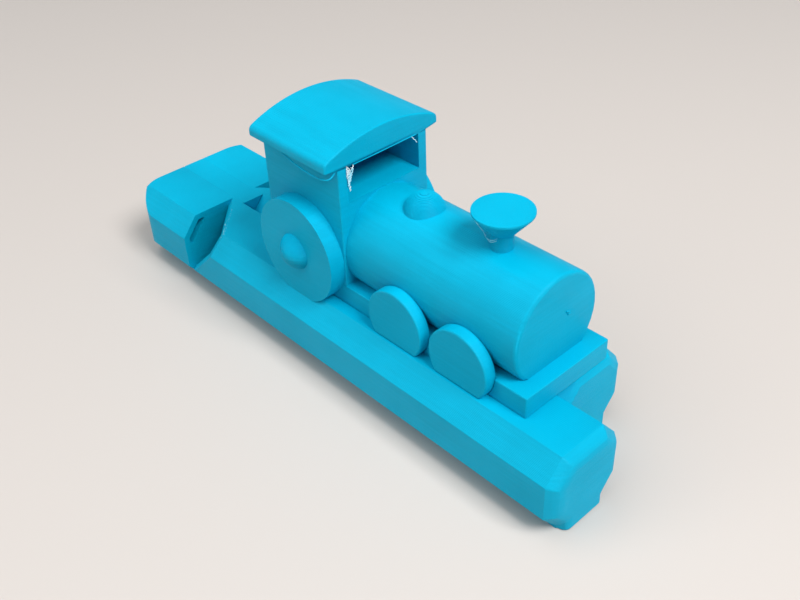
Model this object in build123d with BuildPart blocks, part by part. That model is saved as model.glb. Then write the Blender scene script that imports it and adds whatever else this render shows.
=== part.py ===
from build123d import *

from math import atan2, pi, radians, tan
import os

# A printed train whistle: two octagonal whistle tubes side by side, with a small locomotive on top.
#
# Millimetres. +X is the locomotive's front, +Y its left side and +Z is up. The origin is the middle
# of the rectangle that the whistle covers on a table, at table height.

# ---------------------------------------------------------------- driving dimensions
OVERALL_LENGTH = 147.0
FRONT = OVERALL_LENGTH / 2
REAR = -OVERALL_LENGTH / 2

# whistle tubes
TUBE_HEIGHT = 20.0
TUBE_WIDTH = 21.0
TUBE_AXIS_Y = 9.3
CHAMFER_Y = 4.4
CHAMFER_Z = 5.2
FOOT_HEIGHT = 0.9
TUBE_WALL = 1.6
SETBACK_OF_LEFT_TUBE = 13.6
END_CAP_SLOPE = 1.64
END_CAP_ROUND = 0.72
END_CAP_INSET_1 = 1.26
END_CAP_INSET_2 = 2.73
END_CAP_SPIGOT = 5.0

# whistle windows and windways
WINDOW_REAR = FRONT - 122.6
LABIUM_X = FRONT - 110.0
RAMP_ANGLE = 33.5
WINDWAY_HEIGHT = 1.6
WINDWAY_WIDTH = 7.2
MOUTHPIECE_FRONT = FRONT - 118.3
MOUTH_CORNER_RADIUS = 9.0
MOUTH_EDGE_CHAMFER = 0.6

# chassis and cab
CHASSIS_FRONT = FRONT - 13.6
CAB_FRONT = FRONT - 65.6
CAB_REAR = FRONT - 91.1
CHASSIS_HALF_WIDTH = 12.65
CHASSIS_TOP = 25.15
CAB_WALL = 2.45
CAB_GROOVE = 0.8
CAB_TOP = 53.9
CAB_SILL = 45.5
CAB_REAR_WALL = 2.0
ROOF_TOP = 60.05
ROOF_HALF_WIDTH = 16.0
ROOF_EDGE_TOP = 56.5
ROOF_EDGE_BOTTOM = 54.4
ROOF_TOP_ROUND = 1.5
ROOF_LIP_ROUND = 0.4
PEG_RADIUS = 0.8
PEG_LENGTH = 2.0

# boiler and its fittings
BOILER_RADIUS = 12.2
BOILER_Z = 33.2
BOILER_SIDES = 36
BOILER_FRONT = FRONT - 17.2
FRONT_PLATE = 1.6
FRONT_PLATE_BEVEL = 0.5
PLATE_SPIGOT_RADIUS = 5.0
PLATE_SPIGOT_LENGTH = 4.0
DOME_X = FRONT - 53.4
DOME_RADIUS = 4.6
DOME_Z = 44.0
CHIMNEY_X = FRONT - 31.9
CHIMNEY_TOP = 53.8
CHIMNEY_RIM = 6.3
CHIMNEY_RIM_EDGE = 0.5
CHIMNEY_STEM = 2.3
CHIMNEY_CONE_BASE = 48.6
FITTING_PEG_RADIUS = 1.4
FITTING_PEG_DEPTH = 6.0

# wheels
REAR_WHEEL_X = (CAB_FRONT + CAB_REAR) / 2
REAR_WHEEL_Z = 30.4
REAR_WHEEL_RADIUS = 12.5
REAR_WHEEL_THICKNESS = 3.85
HUB_RADIUS = 4.3
HUB_HEIGHT = 3.0
HUB_SHANK_RADIUS = 2.0
HUB_SHANK_IN_WALL = 1.6
SMALL_WHEEL_XS = {"middle": FRONT - 48.1, "front": FRONT - 29.9}
SMALL_WHEEL_Z = 25.2
SMALL_WHEEL_RADIUS = 8.0
SMALL_WHEEL_BACK = 12.0
SMALL_WHEEL_FACE = 14.95
STUD_RADIUS = 1.25
STUD_Z = 22.6
STUD_LENGTH = 3.0

SIDES = {"right": -1, "left": 1}
TUBE_FRONT = {"right": FRONT, "left": FRONT - SETBACK_OF_LEFT_TUBE}
HALF_WIDTH = TUBE_AXIS_Y + TUBE_WIDTH / 2
CUT_MARGIN = 10.0

os.makedirs("parts", exist_ok=True)


def save(builder, label):
    """Label a finished piece and write it as its own STEP file."""
    builder.part.label = label
    export_step(builder.part, f"parts/{label}.step")


# ---------------------------------------------------------------- shared outlines and tools
def outline_points(side, inset=0.0):
    """Corners of a tube's outline, as (y, z): an octagon that stands on a low foot."""
    chamfer_turn = atan2(CHAMFER_Z, CHAMFER_Y)
    half = TUBE_WIDTH / 2 - inset
    flat = TUBE_WIDTH / 2 - CHAMFER_Y - inset * tan(chamfer_turn / 2)
    shoulder = CHAMFER_Z + inset * tan(pi / 4 - chamfer_turn / 2)
    loop = [
        (-flat, FOOT_HEIGHT + inset),
        (-half, FOOT_HEIGHT + shoulder),
        (-half, TUBE_HEIGHT - shoulder),
        (-flat, TUBE_HEIGHT - inset),
        (flat, TUBE_HEIGHT - inset),
        (half, TUBE_HEIGHT - shoulder),
        (half, FOOT_HEIGHT + shoulder),
        (flat, FOOT_HEIGHT + inset),
        (flat, 0),
        (-flat, 0),
    ]
    return [(side * (TUBE_AXIS_Y + y), z) for y, z in loop]


def outline_sketch(plane, side, inset=0.0):
    """A tube's whole outline, with its foot."""
    with BuildSketch(plane) as outline:
        with BuildLine():
            Polyline(outline_points(side, inset), close=True)
        make_face()
    return outline.sketch


def bore_sketch(plane, side):
    """A tube's inside. The left tube gives up the strip where the two outlines cross."""
    octagon_corners = 8
    with BuildSketch(plane) as bore:
        with BuildLine():
            Polyline(outline_points(side)[:octagon_corners], close=True)
        make_face()
        if side > 0:
            with BuildLine():
                Polyline(outline_points(-side)[:octagon_corners], close=True)
            make_face(mode=Mode.SUBTRACT)
        offset(amount=-TUBE_WALL, kind=Kind.INTERSECTION, mode=Mode.REPLACE)
    return bore.sketch


def outline_prism(side, end):
    """The tube's outline filled solid, from the mouth end to a station."""
    with BuildPart() as prism:
        add(outline_sketch(Plane.YZ.offset(REAR), side))
        extrude(amount=end - REAR, dir=(1, 0, 0))
        if side > 0:
            add(outline_prism(-side, end), mode=Mode.SUBTRACT)
    return prism.part


def bore_prism(side, start, end):
    """A straight length of a tube's inside."""
    with BuildPart() as prism:
        add(bore_sketch(Plane.YZ.offset(start), side))
        extrude(amount=end - start, dir=(1, 0, 0))
    return prism.part


def slant_plane(side, x):
    """Plane on the middle of a tube's outer slanted facet: local x runs forward, local z outward."""
    middle_y = side * (HALF_WIDTH - CHAMFER_Y / 2)
    middle_z = TUBE_HEIGHT - CHAMFER_Z / 2
    return Plane(origin=(x, middle_y, middle_z), x_dir=(1, 0, 0), z_dir=(0, side * CHAMFER_Z, CHAMFER_Y))


def window_wedge(side):
    """The wedge cut out of a tube's upper corner: an upright rear face, and a ramp up to the top."""
    length = LABIUM_X - WINDOW_REAR
    depth = length * tan(radians(RAMP_ANGLE))
    over = CUT_MARGIN / tan(radians(RAMP_ANGLE))
    corner = (WINDOW_REAR, side * (HALF_WIDTH - CHAMFER_Y), TUBE_HEIGHT)
    with BuildPart() as wedge:
        with BuildSketch(Plane(origin=corner, x_dir=(1, 0, 0), z_dir=(0, -1, side))):
            with BuildLine():
                Polyline((0, -depth), (0, CUT_MARGIN), (length + over, CUT_MARGIN), close=True)
            make_face()
        extrude(amount=TUBE_WIDTH, both=True)
    return wedge.part


def windway(side):
    """The flat air passage just under the tube's slanted wall, from the mouth end to the window."""
    with BuildPart() as passage:
        with BuildSketch(slant_plane(side, REAR).offset(-TUBE_WALL - WINDWAY_HEIGHT)):
            Rectangle(WINDOW_REAR - REAR, WINDWAY_WIDTH, align=(Align.MIN, Align.CENTER))
        extrude(amount=WINDWAY_HEIGHT)
    return passage.part


def barrel_sketch(plane):
    """The boiler's faceted outline, cut flat where it rests on the chassis."""
    with BuildSketch(plane) as section:
        with Locations((0, BOILER_Z)):
            RegularPolygon(BOILER_RADIUS, BOILER_SIDES)
        with Locations((0, CHASSIS_TOP)):
            Rectangle(
                2 * BOILER_RADIUS,
                BOILER_RADIUS,
                align=(Align.CENTER, Align.MAX),
                mode=Mode.SUBTRACT,
            )
    return section.sketch


def drill(plane, radius, depth):
    """A blind hole, cut from the open builder, going into the material behind a plane."""
    with Locations(plane):
        Cylinder(radius, depth, align=(Align.CENTER, Align.CENTER, Align.MAX), mode=Mode.SUBTRACT)


def peg(plane, radius, length):
    """A round peg, added to the open builder, standing out behind a plane."""
    with Locations(plane):
        Cylinder(radius, length, align=(Align.CENTER, Align.CENTER, Align.MAX))


def side_plane(side, x, y, z):
    """An upright plane y out from the middle, facing outward on the given side."""
    return Plane(origin=(x, side * y, z), x_dir=(1, 0, 0), z_dir=(0, side, 0))


def small_wheel_disc(side, x):
    """The plain disc of a small wheel, before its foot is cut flat."""
    with BuildPart() as disc:
        with BuildSketch(side_plane(side, x, SMALL_WHEEL_BACK, SMALL_WHEEL_Z)):
            Circle(SMALL_WHEEL_RADIUS)
        extrude(amount=SMALL_WHEEL_FACE - SMALL_WHEEL_BACK)
    return disc.part


with BuildPart() as mouth_envelope:
    with BuildSketch(Plane.XY):
        with Locations((REAR, 0)):
            Rectangle(OVERALL_LENGTH + CUT_MARGIN, 2 * HALF_WIDTH, align=(Align.MIN, Align.CENTER))
    extrude(amount=TUBE_HEIGHT)
    rear_uprights = mouth_envelope.edges().filter_by(Axis.Z).group_by(Axis.X)[0]
    fillet(rear_uprights, radius=MOUTH_CORNER_RADIUS)
    rear_rim = mouth_envelope.faces().sort_by(Axis.X)[0].edges().filter_by(Axis.Y)
    chamfer(rear_rim, length=MOUTH_EDGE_CHAMFER)

tube_fill = {name: outline_prism(side, TUBE_FRONT[name]) for name, side in SIDES.items()}
small_wheels = {
    (name, place): small_wheel_disc(side, x)
    for name, side in SIDES.items()
    for place, x in SMALL_WHEEL_XS.items()
}

# ---------------------------------------------------------------- whistle tubes, blocks and end caps
for name, side in SIDES.items():
    cap_start = TUBE_FRONT[name] - END_CAP_SLOPE - END_CAP_ROUND

    with BuildPart() as tube:
        add(outline_prism(side, cap_start))
        add(bore_prism(side, REAR, cap_start), mode=Mode.SUBTRACT)
        add(window_wedge(side), mode=Mode.SUBTRACT)
        add(mouth_envelope.part, mode=Mode.INTERSECT)
    save(tube, f"{name}_tube")

    with BuildPart() as fipple_block:
        add(bore_prism(side, REAR, WINDOW_REAR))
        add(windway(side), mode=Mode.SUBTRACT)
        add(mouth_envelope.part, mode=Mode.INTERSECT)
    save(fipple_block, f"{name}_fipple_block")

    with BuildPart() as end_cap:
        add(outline_sketch(Plane.YZ.offset(cap_start), side))
        add(outline_sketch(Plane.YZ.offset(cap_start + END_CAP_SLOPE), side, END_CAP_INSET_1))
        loft(ruled=True)
        add(outline_sketch(Plane.YZ.offset(cap_start + END_CAP_SLOPE), side, END_CAP_INSET_1))
        add(outline_sketch(Plane.YZ.offset(TUBE_FRONT[name]), side, END_CAP_INSET_2))
        loft(ruled=True)
        if side > 0:
            add(tube_fill["right"], mode=Mode.SUBTRACT)
        add(bore_prism(side, cap_start - END_CAP_SPIGOT, cap_start))
    save(end_cap, f"{name}_end_cap")

# ---------------------------------------------------------------- mouthpiece webs in the valleys
valley_half_width = TUBE_AXIS_Y - TUBE_WIDTH / 2 + CHAMFER_Y
valley_depth = CHAMFER_Z + FOOT_HEIGHT

for label, level, grow in (
    ("mouthpiece_top_web", TUBE_HEIGHT, Align.MAX),
    ("mouthpiece_bottom_web", 0, Align.MIN),
):
    with BuildPart() as web:
        with BuildSketch(Plane.YZ.offset(REAR)):
            with Locations((0, level)):
                Rectangle(2 * valley_half_width, valley_depth, align=(Align.CENTER, grow))
        extrude(amount=MOUTHPIECE_FRONT - REAR)
        add(tube_fill.values(), mode=Mode.SUBTRACT)
        add(mouth_envelope.part, mode=Mode.INTERSECT)
    save(web, label)

# ---------------------------------------------------------------- chassis
with BuildPart() as chassis_plate:
    with BuildSketch(Plane.XY.offset(TUBE_HEIGHT)):
        with Locations((CAB_REAR, 0)):
            Rectangle(CHASSIS_FRONT - CAB_REAR, 2 * CHASSIS_HALF_WIDTH, align=(Align.MIN, Align.CENTER))
    extrude(amount=CHASSIS_TOP - TUBE_HEIGHT)
    add(small_wheels.values(), mode=Mode.SUBTRACT)
    for side in SIDES.values():
        for x in SMALL_WHEEL_XS.values():
            drill(side_plane(side, x, SMALL_WHEEL_BACK, STUD_Z), STUD_RADIUS, STUD_LENGTH)
save(chassis_plate, "chassis_plate")

# ---------------------------------------------------------------- boiler, its front plate, dome and chimney
plate_back = Plane.YZ.offset(BOILER_FRONT - FRONT_PLATE)
plate_middle = Plane(origin=(BOILER_FRONT - FRONT_PLATE, 0, BOILER_Z), z_dir=(1, 0, 0))
barrel_length = BOILER_FRONT - FRONT_PLATE - CAB_FRONT
fitting_top = BOILER_Z + BOILER_RADIUS

with BuildPart() as barrel_fill:
    add(barrel_sketch(Plane.YZ.offset(CAB_FRONT)))
    extrude(amount=barrel_length, dir=(1, 0, 0))

with BuildPart() as boiler_barrel:
    add(barrel_fill.part)
    add(small_wheels.values(), mode=Mode.SUBTRACT)
    drill(plate_middle, PLATE_SPIGOT_RADIUS, PLATE_SPIGOT_LENGTH)
    for x in (DOME_X, CHIMNEY_X):
        drill(Plane(origin=(x, 0, fitting_top)), FITTING_PEG_RADIUS, FITTING_PEG_DEPTH)
save(boiler_barrel, "boiler_barrel")

with BuildPart() as boiler_front_plate:
    add(barrel_sketch(plate_back))
    extrude(amount=FRONT_PLATE, dir=(1, 0, 0))
    front_rim = boiler_front_plate.faces().sort_by(Axis.X)[-1].edges()
    chamfer(front_rim.filter_by(Axis.Y, reverse=True), FRONT_PLATE_BEVEL)
    peg(plate_middle, PLATE_SPIGOT_RADIUS, PLATE_SPIGOT_LENGTH)
save(boiler_front_plate, "boiler_front_plate")

with BuildPart() as steam_dome:
    with Locations((DOME_X, 0, DOME_Z)):
        Sphere(DOME_RADIUS)
    add(barrel_fill.part, mode=Mode.SUBTRACT)
    split(bisect_by=Plane.XY.offset(BOILER_Z), keep=Keep.TOP)
    peg_top = DOME_Z + DOME_RADIUS / 2
    peg(Plane(origin=(DOME_X, 0, peg_top)), FITTING_PEG_RADIUS, peg_top - fitting_top + FITTING_PEG_DEPTH)
save(steam_dome, "steam_dome")

with BuildPart() as chimney:
    with BuildSketch(Plane.XZ):
        with BuildLine():
            Polyline(
                (CHIMNEY_X, BOILER_Z),
                (CHIMNEY_X + CHIMNEY_STEM, BOILER_Z),
                (CHIMNEY_X + CHIMNEY_STEM, CHIMNEY_CONE_BASE),
                (CHIMNEY_X + CHIMNEY_RIM, CHIMNEY_TOP - CHIMNEY_RIM_EDGE),
                (CHIMNEY_X + CHIMNEY_RIM, CHIMNEY_TOP),
                (CHIMNEY_X, CHIMNEY_TOP),
                close=True,
            )
        make_face()
    revolve(axis=Axis((CHIMNEY_X, 0, 0), (0, 0, 1)))
    add(barrel_fill.part, mode=Mode.SUBTRACT)
    peg_top = CHIMNEY_CONE_BASE
    peg(Plane(origin=(CHIMNEY_X, 0, peg_top)), FITTING_PEG_RADIUS, peg_top - fitting_top + FITTING_PEG_DEPTH)
save(chimney, "chimney")

# ---------------------------------------------------------------- cab
cab_length = CAB_FRONT - CAB_REAR
cab_inside = CHASSIS_HALF_WIDTH - CAB_WALL
wall_middle = CHASSIS_HALF_WIDTH - CAB_WALL / 2
tongue_length = cab_length / 3
roof_peg_xs = (CAB_REAR + cab_length / 4, CAB_FRONT - cab_length / 4)

with BuildPart() as cab_base:
    with BuildSketch(Plane.XY.offset(CHASSIS_TOP)):
        with Locations((CAB_FRONT, 0)):
            Rectangle(cab_length - CAB_REAR_WALL, 2 * cab_inside, align=(Align.MAX, Align.CENTER))
        with Locations((REAR_WHEEL_X, 0)):
            Rectangle(tongue_length, 2 * (cab_inside + CAB_GROOVE))
    extrude(amount=CAB_SILL - CHASSIS_TOP)
save(cab_base, "cab_base")

with BuildPart() as cab_rear_wall:
    with BuildSketch(Plane.XY.offset(CHASSIS_TOP)):
        with Locations((CAB_REAR, 0)):
            Rectangle(CAB_REAR_WALL, 2 * cab_inside, align=(Align.MIN, Align.CENTER))
        with Locations((CAB_REAR + CAB_REAR_WALL, 0)):
            Rectangle(CAB_REAR_WALL / 2, 2 * (cab_inside + CAB_GROOVE), align=(Align.MAX, Align.CENTER))
    extrude(amount=CAB_TOP - CHASSIS_TOP)
save(cab_rear_wall, "cab_rear_wall")

for name, side in SIDES.items():
    with BuildPart() as cab_wall:
        with BuildSketch(Plane.XY.offset(CHASSIS_TOP)):
            with Locations((REAR_WHEEL_X, side * wall_middle)):
                Rectangle(cab_length, CAB_WALL)
        extrude(amount=CAB_TOP - CHASSIS_TOP)
        add(cab_base.part, mode=Mode.SUBTRACT)
        add(cab_rear_wall.part, mode=Mode.SUBTRACT)
        for x in roof_peg_xs:
            drill(Plane(origin=(x, side * wall_middle, CAB_TOP)), PEG_RADIUS, PEG_LENGTH)
        wheel_back = side_plane(side, REAR_WHEEL_X, CHASSIS_HALF_WIDTH, REAR_WHEEL_Z)
        drill(wheel_back, HUB_SHANK_RADIUS, HUB_SHANK_IN_WALL)
    save(cab_wall, f"cab_{name}_wall")

with BuildPart() as cab_roof:
    with BuildSketch(Plane.YZ.offset(CAB_REAR)) as roof_section:
        with BuildLine():
            ThreePointArc((-ROOF_HALF_WIDTH, ROOF_EDGE_TOP), (0, ROOF_TOP), (ROOF_HALF_WIDTH, ROOF_EDGE_TOP))
            Polyline(
                (ROOF_HALF_WIDTH, ROOF_EDGE_TOP),
                (ROOF_HALF_WIDTH, ROOF_EDGE_BOTTOM),
                (CHASSIS_HALF_WIDTH, CAB_TOP),
                (-CHASSIS_HALF_WIDTH, CAB_TOP),
                (-ROOF_HALF_WIDTH, ROOF_EDGE_BOTTOM),
                (-ROOF_HALF_WIDTH, ROOF_EDGE_TOP),
            )
        make_face()
        fillet(roof_section.vertices().group_by(Axis.Y)[-1], ROOF_TOP_ROUND)
        fillet(roof_section.vertices().group_by(Axis.Y)[1], ROOF_LIP_ROUND)
    extrude(amount=cab_length)
    for side in SIDES.values():
        for x in roof_peg_xs:
            peg(Plane(origin=(x, side * wall_middle, CAB_TOP)), PEG_RADIUS, PEG_LENGTH)
save(cab_roof, "cab_roof")

# ---------------------------------------------------------------- wheels
hub_sphere_radius = (HUB_RADIUS**2 + HUB_HEIGHT**2) / (2 * HUB_HEIGHT)

for name, side in SIDES.items():
    wheel_back = side_plane(side, REAR_WHEEL_X, CHASSIS_HALF_WIDTH, REAR_WHEEL_Z)
    wheel_face = wheel_back.offset(REAR_WHEEL_THICKNESS)

    with BuildPart() as rear_wheel:
        with BuildSketch(wheel_back):
            Circle(REAR_WHEEL_RADIUS)
            Circle(HUB_SHANK_RADIUS, mode=Mode.SUBTRACT)
        extrude(amount=REAR_WHEEL_THICKNESS)
        add(tube_fill[name], mode=Mode.SUBTRACT)
    save(rear_wheel, f"{name}_rear_wheel")

    with BuildPart() as hub_cap:
        with Locations(wheel_face.offset(HUB_HEIGHT - hub_sphere_radius)):
            Sphere(hub_sphere_radius)
        split(bisect_by=wheel_face, keep=Keep.TOP)
        peg(wheel_face, HUB_SHANK_RADIUS, REAR_WHEEL_THICKNESS + HUB_SHANK_IN_WALL)
    save(hub_cap, f"{name}_hub_cap")

for (name, place), disc in small_wheels.items():
    with BuildPart() as small_wheel:
        add(disc)
        add(tube_fill[name], mode=Mode.SUBTRACT)
        stud_start = side_plane(SIDES[name], SMALL_WHEEL_XS[place], SMALL_WHEEL_BACK, STUD_Z)
        peg(stud_start, STUD_RADIUS, STUD_LENGTH)
    save(small_wheel, f"{name}_{place}_wheel")
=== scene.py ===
import random
from math import cos, pi, radians, sin, sqrt

import bpy
from mathutils import Matrix, Vector


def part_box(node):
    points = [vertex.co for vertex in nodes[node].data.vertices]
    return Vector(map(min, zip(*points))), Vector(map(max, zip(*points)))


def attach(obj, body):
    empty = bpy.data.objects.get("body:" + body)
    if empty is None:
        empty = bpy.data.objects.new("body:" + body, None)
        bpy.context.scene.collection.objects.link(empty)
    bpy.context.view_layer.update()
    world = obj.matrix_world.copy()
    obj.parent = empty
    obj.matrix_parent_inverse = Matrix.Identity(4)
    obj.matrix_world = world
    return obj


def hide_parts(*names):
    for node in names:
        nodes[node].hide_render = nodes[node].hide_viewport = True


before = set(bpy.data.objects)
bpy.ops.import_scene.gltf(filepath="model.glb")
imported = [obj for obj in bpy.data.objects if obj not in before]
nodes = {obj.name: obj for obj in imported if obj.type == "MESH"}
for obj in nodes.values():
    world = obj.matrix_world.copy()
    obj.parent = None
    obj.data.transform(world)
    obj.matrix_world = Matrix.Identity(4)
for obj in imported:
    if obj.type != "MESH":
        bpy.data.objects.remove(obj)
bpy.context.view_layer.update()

MM = 0.001
LAYER = 0.2 * MM
BEAD = 0.42 * MM
DOME_RADIUS = 4.6 * MM
TABLE = 0.0
X, Y, Z = range(3)
SIDES = {"right": -1, "left": 1}

random.seed(7)


# ---------------------------------------------------------------- camera
CAMERA_PLACE = Vector((145.46, -120.06, 153.03)) * MM
CAMERA_HEADING = radians(138.22)
CAMERA_DIP = radians(-37.23)
CAMERA_ROLL = radians(-2.53)
SENSOR_WIDTH = 36.0
LENS = 44.07
NEAREST_SEEN = 0.01


def place_camera():
    """A camera at a three-quarter view from the front right, looking down on the locomotive."""
    forward = Vector(
        (
            cos(CAMERA_HEADING) * cos(CAMERA_DIP),
            sin(CAMERA_HEADING) * cos(CAMERA_DIP),
            sin(CAMERA_DIP),
        )
    )
    level_right = forward.cross(Vector((0, 0, 1))).normalized()
    level_up = level_right.cross(forward)
    right = cos(CAMERA_ROLL) * level_right + sin(CAMERA_ROLL) * level_up
    up = -sin(CAMERA_ROLL) * level_right + cos(CAMERA_ROLL) * level_up
    turn = Matrix((right, up, -forward)).transposed().to_4x4()

    data = bpy.data.cameras.new("camera")
    data.lens = LENS
    data.sensor_width = SENSOR_WIDTH
    data.clip_start = NEAREST_SEEN
    camera = bpy.data.objects.new("camera", data)
    camera.matrix_world = Matrix.Translation(CAMERA_PLACE) @ turn
    bpy.context.scene.collection.objects.link(camera)
    bpy.context.scene.camera = camera


# ---------------------------------------------------------------- stage and light
FLOOR_SIZE = 6
FLOOR_COLOUR = (0.58, 0.530, 0.495, 1)
LIGHT_TARGET = Vector((0, 0, 0.025))
SKY_COLOUR = (0.88, 0.96, 1.0, 1)
SKY_STRENGTH = 0.22


def pale_floor():
    """A plain pale floor, wide enough for every view."""
    bpy.ops.object.select_all(action="DESELECT")
    bpy.ops.mesh.primitive_plane_add(size=FLOOR_SIZE, location=(0, 0, 0))
    floor = bpy.context.active_object
    floor.name = "floor"
    material = bpy.data.materials.new("pale_floor")
    material.use_nodes = True
    shader = material.node_tree.nodes["Principled BSDF"]
    shader.inputs["Base Color"].default_value = FLOOR_COLOUR
    shader.inputs["Roughness"].default_value = 0.6
    floor.data.materials.append(material)


def area_light(name, place, size, power, colour):
    """A square soft light at a place in metres, aimed at the locomotive."""
    data = bpy.data.lights.new(name, "AREA")
    data.size = size
    data.energy = power
    data.color = colour
    light = bpy.data.objects.new(name, data)
    light.location = place
    aim = LIGHT_TARGET - Vector(place)
    light.rotation_euler = aim.to_track_quat("-Z", "Y").to_euler()
    bpy.context.scene.collection.objects.link(light)


def studio_light():
    """A main light ahead, a wide soft one overhead, a weak one behind on the right, and a dim sky."""
    white, cool, warm = (1.0, 1.0, 1.0), (0.98, 0.99, 1.0), (1.0, 0.96, 0.92)
    area_light("main_light", place=(0.62, 0.0, 0.80), size=0.40, power=10.2, colour=white)
    area_light("overhead_light", place=(-0.15, -0.35, 0.95), size=1.1, power=6.4, colour=cool)
    area_light("side_light", place=(-0.45, -0.75, 0.45), size=0.5, power=1.3, colour=warm)
    world = bpy.data.worlds.new("soft_sky")
    world.use_nodes = True
    background = world.node_tree.nodes["Background"]
    background.inputs["Color"].default_value = SKY_COLOUR
    background.inputs["Strength"].default_value = SKY_STRENGTH
    bpy.context.scene.world = world


# ---------------------------------------------------------------- plastic, as the printer leaves it
class Recipe:
    """Short ways to add and join the nodes of one material."""

    def __init__(self, name):
        self.material = bpy.data.materials.new(name)
        self.material.use_nodes = True
        self.tree = self.material.node_tree
        self.shader = self.tree.nodes["Principled BSDF"]
        place = self.tree.nodes.new("ShaderNodeTexCoord")
        self.point = place.outputs["Object"]
        self.facing = place.outputs["Normal"]

    def add(self, kind, settings, **inputs):
        """A new node with its settings, and its inputs by name, with _ for a space."""
        node = self.tree.nodes.new(kind)
        for key, value in settings.items():
            setattr(node, key, value)
        for key, value in inputs.items():
            self.feed(node.inputs[key.replace("_", " ")], value)
        return node

    def feed(self, socket, value):
        """Give a socket a value, or join another node's result to it."""
        if isinstance(value, bpy.types.NodeSocket):
            self.tree.links.new(value, socket)
        else:
            socket.default_value = value

    def math(self, operation, first, second=0.0):
        """The result of one sum on two values."""
        node = self.tree.nodes.new("ShaderNodeMath")
        node.operation = operation
        self.feed(node.inputs[0], first)
        self.feed(node.inputs[1], second)
        return node.outputs[0]

    def remap(self, value, low, high, to_low=0.0, to_high=1.0):
        """A value eased from one range into another, and held at its ends."""
        node = self.add("ShaderNodeMapRange", {"interpolation_type": "SMOOTHSTEP"})
        for socket, setting in zip(node.inputs, (value, low, high, to_low, to_high)):
            self.feed(socket, setting)
        return node.outputs["Result"]

    def blend(self, factor, first, second):
        """A colour between two others."""
        node = self.add("ShaderNodeMix", {"data_type": "RGBA"}, Factor=factor)
        colour_a, colour_b = (socket for socket in node.inputs if socket.type == "RGBA")
        self.feed(colour_a, (*first, 1))
        self.feed(colour_b, (*second, 1))
        return next(socket for socket in node.outputs if socket.type == "RGBA")

    def noise(self, shares, scale, detail):
        """Cloudy noise, drawn out long in each direction whose share of the scale is small."""
        space = self.add("ShaderNodeMapping", {}, Vector=self.point, Scale=shares)
        noise = self.add(
            "ShaderNodeTexNoise",
            {},
            Vector=space.outputs["Vector"],
            Scale=scale,
            Detail=detail,
        )
        return noise.outputs["Fac"]

    def lines(self, turn, spacing, wobble):
        """Soft parallel ridges along a turned direction, spaced in metres."""
        waves_per_unit = 2 * pi / 20
        space = self.add("ShaderNodeMapping", {}, Vector=self.point, Rotation=turn)
        wave = self.add(
            "ShaderNodeTexWave",
            {"wave_type": "BANDS", "bands_direction": "Z"},
            Vector=space.outputs["Vector"],
            Scale=waves_per_unit / spacing,
            Distortion=wobble,
            Detail_Scale=0.02,
        )
        return wave.outputs["Fac"]


DEEP = (0.0, 0.360, 0.555)
BRIGHT = (0.0, 0.415, 0.635)
EQUAL_SHARES = (1.0, 1.0, 1.0)
LEVEL_BANDS = (0.03, 0.03, 1.0)
BUMP_DEPTH = 0.05 * MM
DULL, SHINY = 0.50, 0.40
THREAD_ROUGHNESS = 0.35
WEAK_GLOSS = 0.08


def printed_plastic(name, layer_relief, raster_relief, raster_turn, grain):
    """Blue-green plastic laid in fine level layers, with a diagonal raster on its flat tops."""
    r = Recipe(name)
    facing = r.add("ShaderNodeSeparateXYZ", {}, Vector=r.facing)
    level = r.remap(r.math("ABSOLUTE", facing.outputs["Z"]), 0.90, 0.995)
    upright = r.math("SUBTRACT", 1.0, level)

    layers = r.lines((0, 0, 0), LAYER, wobble=0.6)
    raster = r.lines((radians(90), 0, raster_turn), BEAD, wobble=0.5)
    uneven_layers = r.noise(LEVEL_BANDS, scale=1900.0, detail=3.0)
    clouds = r.noise(EQUAL_SHARES, scale=55.0, detail=3.0)
    pits = r.noise(EQUAL_SHARES, scale=2600.0, detail=2.0)

    ridge = r.math("MULTIPLY", r.math("MULTIPLY", layers, upright), layer_relief)
    drift = r.math("MULTIPLY", r.math("MULTIPLY", uneven_layers, upright), layer_relief * 1.2)
    weave = r.math("MULTIPLY", r.math("MULTIPLY", raster, level), raster_relief)
    specks = r.math("MULTIPLY", pits, grain)
    height = r.math("ADD", r.math("ADD", ridge, drift), r.math("ADD", weave, specks))
    bump = r.add("ShaderNodeBump", {}, Height=height, Strength=1.0, Distance=BUMP_DEPTH)
    r.feed(r.shader.inputs["Normal"], bump.outputs["Normal"])

    tone = r.math("ADD", r.math("MULTIPLY", clouds, 0.6), r.math("MULTIPLY", uneven_layers, 0.4))
    colour = r.blend(r.remap(tone, 0.3, 0.7), DEEP, BRIGHT)
    r.feed(r.shader.inputs["Base Color"], colour)
    r.feed(r.shader.inputs["Roughness"], r.remap(tone, 0.25, 0.75, DULL, SHINY))
    r.shader.inputs["Specular IOR Level"].default_value = WEAK_GLOSS
    return r.material


def stretched_thread(name, dull, pale):
    """The same plastic pulled thin, which turns it pale and shiny."""
    r = Recipe(name)
    cloud = r.noise(EQUAL_SHARES, scale=900.0, detail=2.0)
    r.feed(r.shader.inputs["Base Color"], r.blend(r.remap(cloud, 0.35, 0.65), dull, pale))
    r.shader.inputs["Roughness"].default_value = THREAD_ROUGHNESS
    return r.material


def make_plastics():
    """One plastic for each way that the printer lays it."""
    diagonal = radians(45)
    return {
        "walls": printed_plastic("layered_walls", 0.60, 0.50, diagonal, 0.80),
        "tops": printed_plastic("rastered_tops", 0.8, 1.0, -diagonal, 0.80),
        "small": printed_plastic("small_prints", 1.0, 0.6, diagonal, 0.9),
        "thread": stretched_thread("white_thread", (0.35, 0.75, 0.88), (0.80, 0.93, 0.96)),
        "hair": stretched_thread("thin_hair", (0.02, 0.45, 0.66), (0.22, 0.66, 0.80)),
    }


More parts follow.
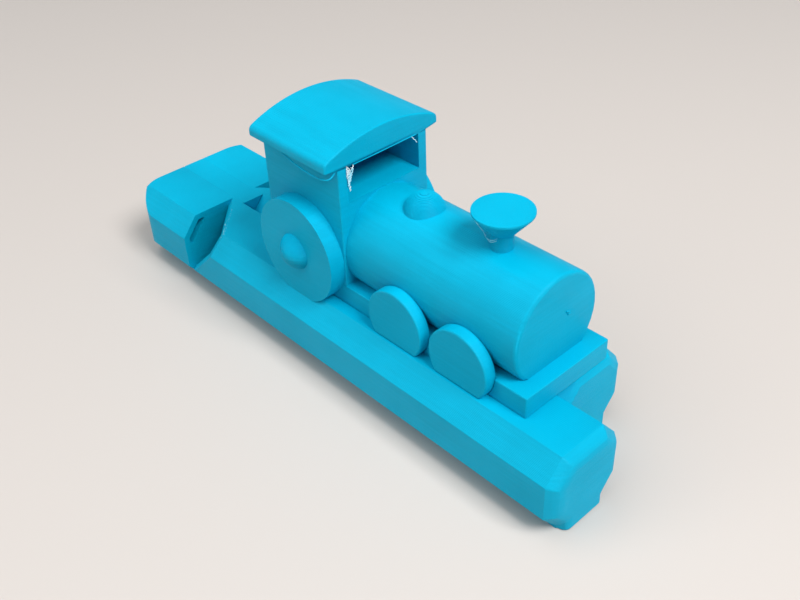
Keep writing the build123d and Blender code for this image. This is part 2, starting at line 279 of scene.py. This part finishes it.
# ---------------------------------------------------------------- helpers for the pieces
WELD_DISTANCE = 0.002 * MM
FLAT_WITHIN = radians(0.6)
SHARP_EDGE = radians(24)
SEAM_REACH = 0.02 * MM
FLATNESS_WEIGHT = 90


def only(piece):
    """Make one piece the active and only selected object."""
    bpy.ops.object.select_all(action="DESELECT")
    piece.select_set(True)
    bpy.context.view_layer.objects.active = piece


def finish_piece(piece, replaced, material, smooth=30):
    """Shade a finished piece, give it its plastic, hang it on the root body and hide the parts that it
    replaces.
    """
    only(piece)
    bpy.ops.object.transform_apply(location=True, rotation=True, scale=True)
    bpy.ops.object.shade_smooth_by_angle(angle=radians(smooth))
    flats = piece.modifiers.new("flats_stay_flat", "WEIGHTED_NORMAL")
    flats.mode = "FACE_AREA"
    flats.weight = FLATNESS_WEIGHT
    flats.keep_sharp = True
    bpy.ops.object.modifier_apply(modifier="flats_stay_flat")
    piece.data.materials.clear()
    piece.data.materials.append(material)
    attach(piece, "root")
    if replaced:
        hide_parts(*replaced)


def on_a_seam(ends, seams):
    """Whether all the points lie in one of the planes, given as (axis, distance from the origin)."""
    for axis, distance in seams:
        if all(abs(abs(end[axis]) - abs(distance)) < SEAM_REACH for end in ends):
            return True
    return False


def rounded_piece(label, radius, material, seams=(), share_at_seam=1.0):
    """A copy of a node's mesh, merged to whole faces, with its free edges rounded as printed.

    An edge that runs into a seam gets only its share of the radius, to meet the next piece's edge.
    """
    piece = bpy.data.objects.new(f"printed_{label}", nodes[label].data.copy())
    bpy.context.scene.collection.objects.link(piece)
    only(piece)
    bpy.ops.object.mode_set(mode="EDIT")
    bpy.ops.mesh.select_all(action="SELECT")
    bpy.ops.mesh.remove_doubles(threshold=WELD_DISTANCE)
    bpy.ops.mesh.dissolve_limited(angle_limit=FLAT_WITHIN)
    bpy.ops.mesh.select_mode(type="EDGE")
    bpy.ops.mesh.select_all(action="DESELECT")
    bpy.ops.mesh.edges_select_sharp(sharpness=SHARP_EDGE)
    bpy.ops.object.mode_set(mode="OBJECT")

    mesh = piece.data
    weights = mesh.attributes.new("bevel_weight_edge", "FLOAT", "EDGE")
    for edge in mesh.edges:
        ends = [mesh.vertices[i].co for i in edge.vertices]
        runs_into_seam = any(on_a_seam([end], seams) for end in ends)
        if edge.select and not on_a_seam(ends, seams):
            weights.data[edge.index].value = share_at_seam if runs_into_seam else 1.0
    rounding = piece.modifiers.new("rounding", "BEVEL")
    rounding.width = radius
    rounding.segments = 3
    rounding.limit_method = "WEIGHT"
    bpy.ops.object.modifier_apply(modifier="rounding")
    finish_piece(piece, [label], material, smooth=42)


# ---------------------------------------------------------------- the rounded pieces and their joints
def round_all_pieces(plastics):
    """Round every free edge. Where two pieces meet flush, the edge stays sharp and the joint closes up."""
    walls = plastics["walls"]
    tube_ends = {side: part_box(f"{side}_tube")[1][X] for side in SIDES}
    mouth_end = (X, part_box("right_tube")[0][X])
    underside = (Z, TABLE)
    valley = (Y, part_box("mouthpiece_top_web")[1][Y])
    window_face = (X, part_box("right_fipple_block")[1][X])
    deck = (Z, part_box("chassis_plate")[1][Z])
    wall_inside = (Y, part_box("cab_right_wall")[1][Y])
    cab_rear = (X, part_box("cab_rear_wall")[0][X])
    cab_front = (X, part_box("cab_right_wall")[1][X])
    eaves = (Z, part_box("cab_right_wall")[1][Z])
    plate_back = (X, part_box("boiler_barrel")[1][X])

    for side in SIDES:
        cap_joint = (X, tube_ends[side])
        tube_joints = [cap_joint, mouth_end, valley, underside]
        rounded_piece(f"{side}_tube", 0.45 * MM, walls, tube_joints)
        rounded_piece(f"{side}_end_cap", 1.0 * MM, walls, [cap_joint], share_at_seam=0.45)
        rounded_piece(f"{side}_fipple_block", 0.20 * MM, walls, tube_joints + [window_face])
        rounded_piece(f"{side}_rear_wheel", 0.50 * MM, walls)
        rounded_piece(f"{side}_middle_wheel", 0.42 * MM, walls)
        rounded_piece(f"{side}_front_wheel", 0.42 * MM, walls)
        rounded_piece(f"cab_{side}_wall", 0.30 * MM, walls, [eaves, deck, wall_inside])
    for level in ("top", "bottom"):
        rounded_piece(f"mouthpiece_{level}_web", 0.45 * MM, walls, [valley, mouth_end])
    rounded_piece("chassis_plate", 0.50 * MM, walls, [cab_rear])
    rounded_piece("cab_base", 0.30 * MM, walls, [wall_inside, deck])
    rounded_piece("cab_rear_wall", 0.30 * MM, walls, [eaves, deck, wall_inside, cab_rear])
    rounded_piece("cab_roof", 0.80 * MM, plastics["tops"], [eaves])
    rounded_piece("boiler_barrel", 0.20 * MM, walls, [plate_back, cab_front, deck])
    rounded_piece("boiler_front_plate", 0.45 * MM, walls, [plate_back, deck])
    rounded_piece("chimney", 0.25 * MM, plastics["small"])


# ---------------------------------------------------------------- balls built up of level discs
def layered_ball(label, centre, radius, cut_place, cut_facing, material):
    """A ball made of one-layer discs of slightly uneven size, kept only on one side of a plane."""
    corners = 56
    unevenness = 0.035
    bottom = centre.z - radius
    layer_count = int(2 * radius / LAYER)
    sizes = []
    for layer in range(layer_count):
        from_middle = bottom + (layer + 0.5) * LAYER - centre.z
        sizes.append(sqrt(radius**2 - from_middle**2) + random.uniform(-unevenness, 0.0) * MM)

    bpy.ops.object.select_all(action="DESELECT")
    bpy.ops.mesh.primitive_circle_add(
        vertices=corners,
        radius=sizes[0],
        fill_type="NGON",
        location=(centre.x, centre.y, bottom),
    )
    piece = bpy.context.active_object
    piece.name = f"printed_{label}"
    bpy.ops.object.mode_set(mode="EDIT")
    bpy.ops.mesh.select_mode(type="FACE")
    bpy.ops.mesh.select_all(action="SELECT")
    for layer, size in enumerate(sizes):
        if layer:
            middle = (centre.x, centre.y, bottom + layer * LAYER)
            grow = size / sizes[layer - 1]
            bpy.ops.mesh.extrude_region_move(TRANSFORM_OT_translate={"value": (0, 0, 0)})
            bpy.ops.transform.resize(value=(grow, grow, 1), center_override=middle)
        bpy.ops.mesh.extrude_region_move(TRANSFORM_OT_translate={"value": (0, 0, LAYER)})
    bpy.ops.mesh.select_all(action="SELECT")
    bpy.ops.mesh.bisect(plane_co=cut_place, plane_no=cut_facing, clear_inner=True, use_fill=True)
    bpy.ops.mesh.select_all(action="SELECT")
    bpy.ops.mesh.normals_make_consistent(inside=False)
    bpy.ops.object.mode_set(mode="OBJECT")
    soften = piece.modifiers.new("soft_steps", "BEVEL")
    soften.width = 0.06 * MM
    soften.segments = 2
    soften.limit_method = "ANGLE"
    soften.angle_limit = radians(50)
    bpy.ops.object.modifier_apply(modifier="soft_steps")
    finish_piece(piece, [label], material)


def dome_and_hubs(plastic):
    """The steam dome on the boiler and the domed hub of each rear wheel."""
    root_depth = 0.2 * MM
    low, high = (Vector(corner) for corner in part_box("steam_dome"))
    centre = Vector(((low.x + high.x) / 2, 0, high.z - DOME_RADIUS))
    layered_ball("steam_dome", centre, DOME_RADIUS, centre, (0, 0, 1), plastic)

    for name, side in SIDES.items():
        low, high = (Vector(corner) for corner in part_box(f"{name}_hub_cap"))
        half = (high.z - low.z) / 2
        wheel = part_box(f"{name}_rear_wheel")
        wheel_face = max(abs(wheel[0][Y]), abs(wheel[1][Y]))
        rise = max(abs(low.y), abs(high.y)) - wheel_face
        radius = (half**2 + rise**2) / (2 * rise)
        middle_y = side * (wheel_face + rise - radius)
        centre = Vector(((low.x + high.x) / 2, middle_y, (low.z + high.z) / 2))
        inside_wheel = (centre.x, side * (wheel_face - root_depth), centre.z)
        layered_ball(f"{name}_hub_cap", centre, radius, inside_wheel, (0, side, 0), plastic)


# ---------------------------------------------------------------- threads and burrs left by the nozzle
def threads(label, routes, width, material):
    """Thin threads of stretched plastic, each along its own route in millimetres."""
    data = bpy.data.curves.new(label, "CURVE")
    data.dimensions = "3D"
    data.bevel_depth = width / 2
    data.bevel_resolution = 1
    data.resolution_u = 5
    data.use_fill_caps = True
    for route in routes:
        spline = data.splines.new("NURBS")
        spline.points.add(len(route) - 1)
        for point, place in zip(spline.points, route):
            point.co = (*(Vector(place) * MM), 1)
            point.radius = random.uniform(0.75, 1.25)
        spline.order_u = 3
        spline.use_endpoint_u = True
    piece = bpy.data.objects.new(label, data)
    bpy.context.scene.collection.objects.link(piece)
    only(piece)
    bpy.ops.object.convert(target="MESH")
    finish_piece(bpy.context.active_object, [], material, smooth=60)


def hanging_zigzag(top, bottom, swing, turns):
    """A route that hangs from one place to another and swings to and fro on the way."""
    top, bottom = Vector(top), Vector(bottom)
    route = [top]
    for turn in range(1, turns):
        place = top.lerp(bottom, turn / turns)
        place.y += swing * (1 if turn % 2 else -1) * random.uniform(0.6, 1.2)
        place.x += random.uniform(0.0, 0.25)
        route.append(place)
    return route + [bottom]


def cab_threads(plastics):
    """The threads and the bead in the cab's window, and the bead that sags under the right eave."""
    threads(
        "window_threads",
        [
            hanging_zigzag((8.0, -10.3, 54.2), (8.1, -10.1, 49.4), 0.42, 18),
            hanging_zigzag((8.0, -9.9, 53.8), (8.1, -9.9, 48.4), 0.30, 16),
            hanging_zigzag((8.0, -8.6, 54.0), (8.1, -9.7, 50.6), 0.36, 12),
            hanging_zigzag((8.0, -9.2, 53.6), (8.1, -10.0, 51.2), 0.45, 8),
            hanging_zigzag((8.0, 8.1, 53.9), (8.0, 9.6, 52.1), 0.20, 5),
        ],
        0.20 * MM,
        plastics["thread"],
    )
    threads(
        "window_top_bead",
        [[(7.9, -8.5, 53.98), (7.95, -3.0, 53.95), (7.9, 3.0, 53.98), (7.9, 9.4, 53.95)]],
        0.25 * MM,
        plastics["walls"],
    )
    threads(
        "sagging_eave_bead",
        [
            [
                (-7.5, -15.5, 54.3),
                (-5.0, -15.6, 53.6),
                (-0.8, -15.6, 52.8),
                (2.6, -15.6, 52.5),
                (5.4, -15.6, 52.5),
                (7.5, -15.1, 52.7),
                (7.6, -13.6, 53.2),
                (7.4, -12.8, 54.0),
            ],
        ],
        0.42 * MM,
        plastics["walls"],
    )


def chimney_threads(plastics):
    """Loose loops of thread on the chimney's stem."""
    threads(
        "chimney_threads",
        [
            [
                (37.6, -4.6, 52.9),
                (38.3, -4.2, 51.6),
                (38.9, -3.6, 50.4),
                (39.4, -3.0, 49.2),
                (39.7, -2.5, 48.2),
            ],
            [(38.0, -4.3, 52.2), (38.9, -3.9, 50.8), (39.5, -3.2, 49.4), (39.9, -2.8, 48.6)],
            [
                (39.4, -3.0, 49.0),
                (40.3, -3.3, 48.4),
                (41.3, -3.3, 48.2),
                (42.2, -3.0, 48.5),
                (42.6, -2.7, 48.9),
            ],
            [(39.8, -2.9, 48.3), (40.8, -3.2, 47.7), (41.8, -3.0, 47.8), (42.4, -2.6, 48.3)],
        ],
        0.18 * MM,
        plastics["hair"],
    )


def small_burrs(plastics):
    """Blobs where the nozzle stopped: on the boiler's front and along the tube's edge."""
    threads(
        "nozzle_blobs",
        [
            [(56.3, 2.4, 35.9), (56.42, 3.0, 35.6), (56.3, 3.7, 35.4)],
            [(56.3, 2.9, 35.1), (56.38, 3.3, 34.9), (56.3, 3.8, 34.9)],
            [(-4.8, -19.4, 14.9), (-4.3, -19.5, 14.7), (-3.9, -19.4, 14.6)],
            [(53.4, -19.4, 14.9), (53.9, -19.5, 14.8), (54.3, -19.4, 14.6)],
        ],
        0.45 * MM,
        plastics["walls"],
    )


def ragged_lips(plastics):
    """The torn edge of each window, where the ramp runs out to nothing, in short tufts."""
    step = 0.45
    overlap = Vector((0.35, 0, 0))
    droop = 0.5
    for name, side in SIDES.items():
        corners = [
            Vector((-45.0, side * 6.9, 19.85)),
            Vector((-36.6, side * 15.3, 19.85)),
            Vector((-36.6, side * 19.35, 14.9)),
            Vector((-41.4, side * 19.35, 11.2)),
        ]
        routes = []
        for start, end in zip(corners, corners[1:]):
            count = int((end - start).length / step)
            for tick in range(count):
                root = start.lerp(end, tick / count)
                reach = random.uniform(0.1, 0.75)
                tip = root + Vector((-reach, random.uniform(-0.15, 0.15), -droop * reach))
                routes.append([root + overlap, root, tip])
        threads(f"{name}_window_lip", routes, 0.34 * MM, plastics["hair"])


# ---------------------------------------------------------------- the whole scene
place_camera()
pale_floor()
studio_light()
plastics = make_plastics()

for node in nodes.values():
    node.data.materials.clear()
    node.data.materials.append(plastics["walls"])

round_all_pieces(plastics)
dome_and_hubs(plastics["small"])
cab_threads(plastics)
chimney_threads(plastics)
small_burrs(plastics)
ragged_lips(plastics)

bpy.context.scene.view_settings.view_transform = "Standard"
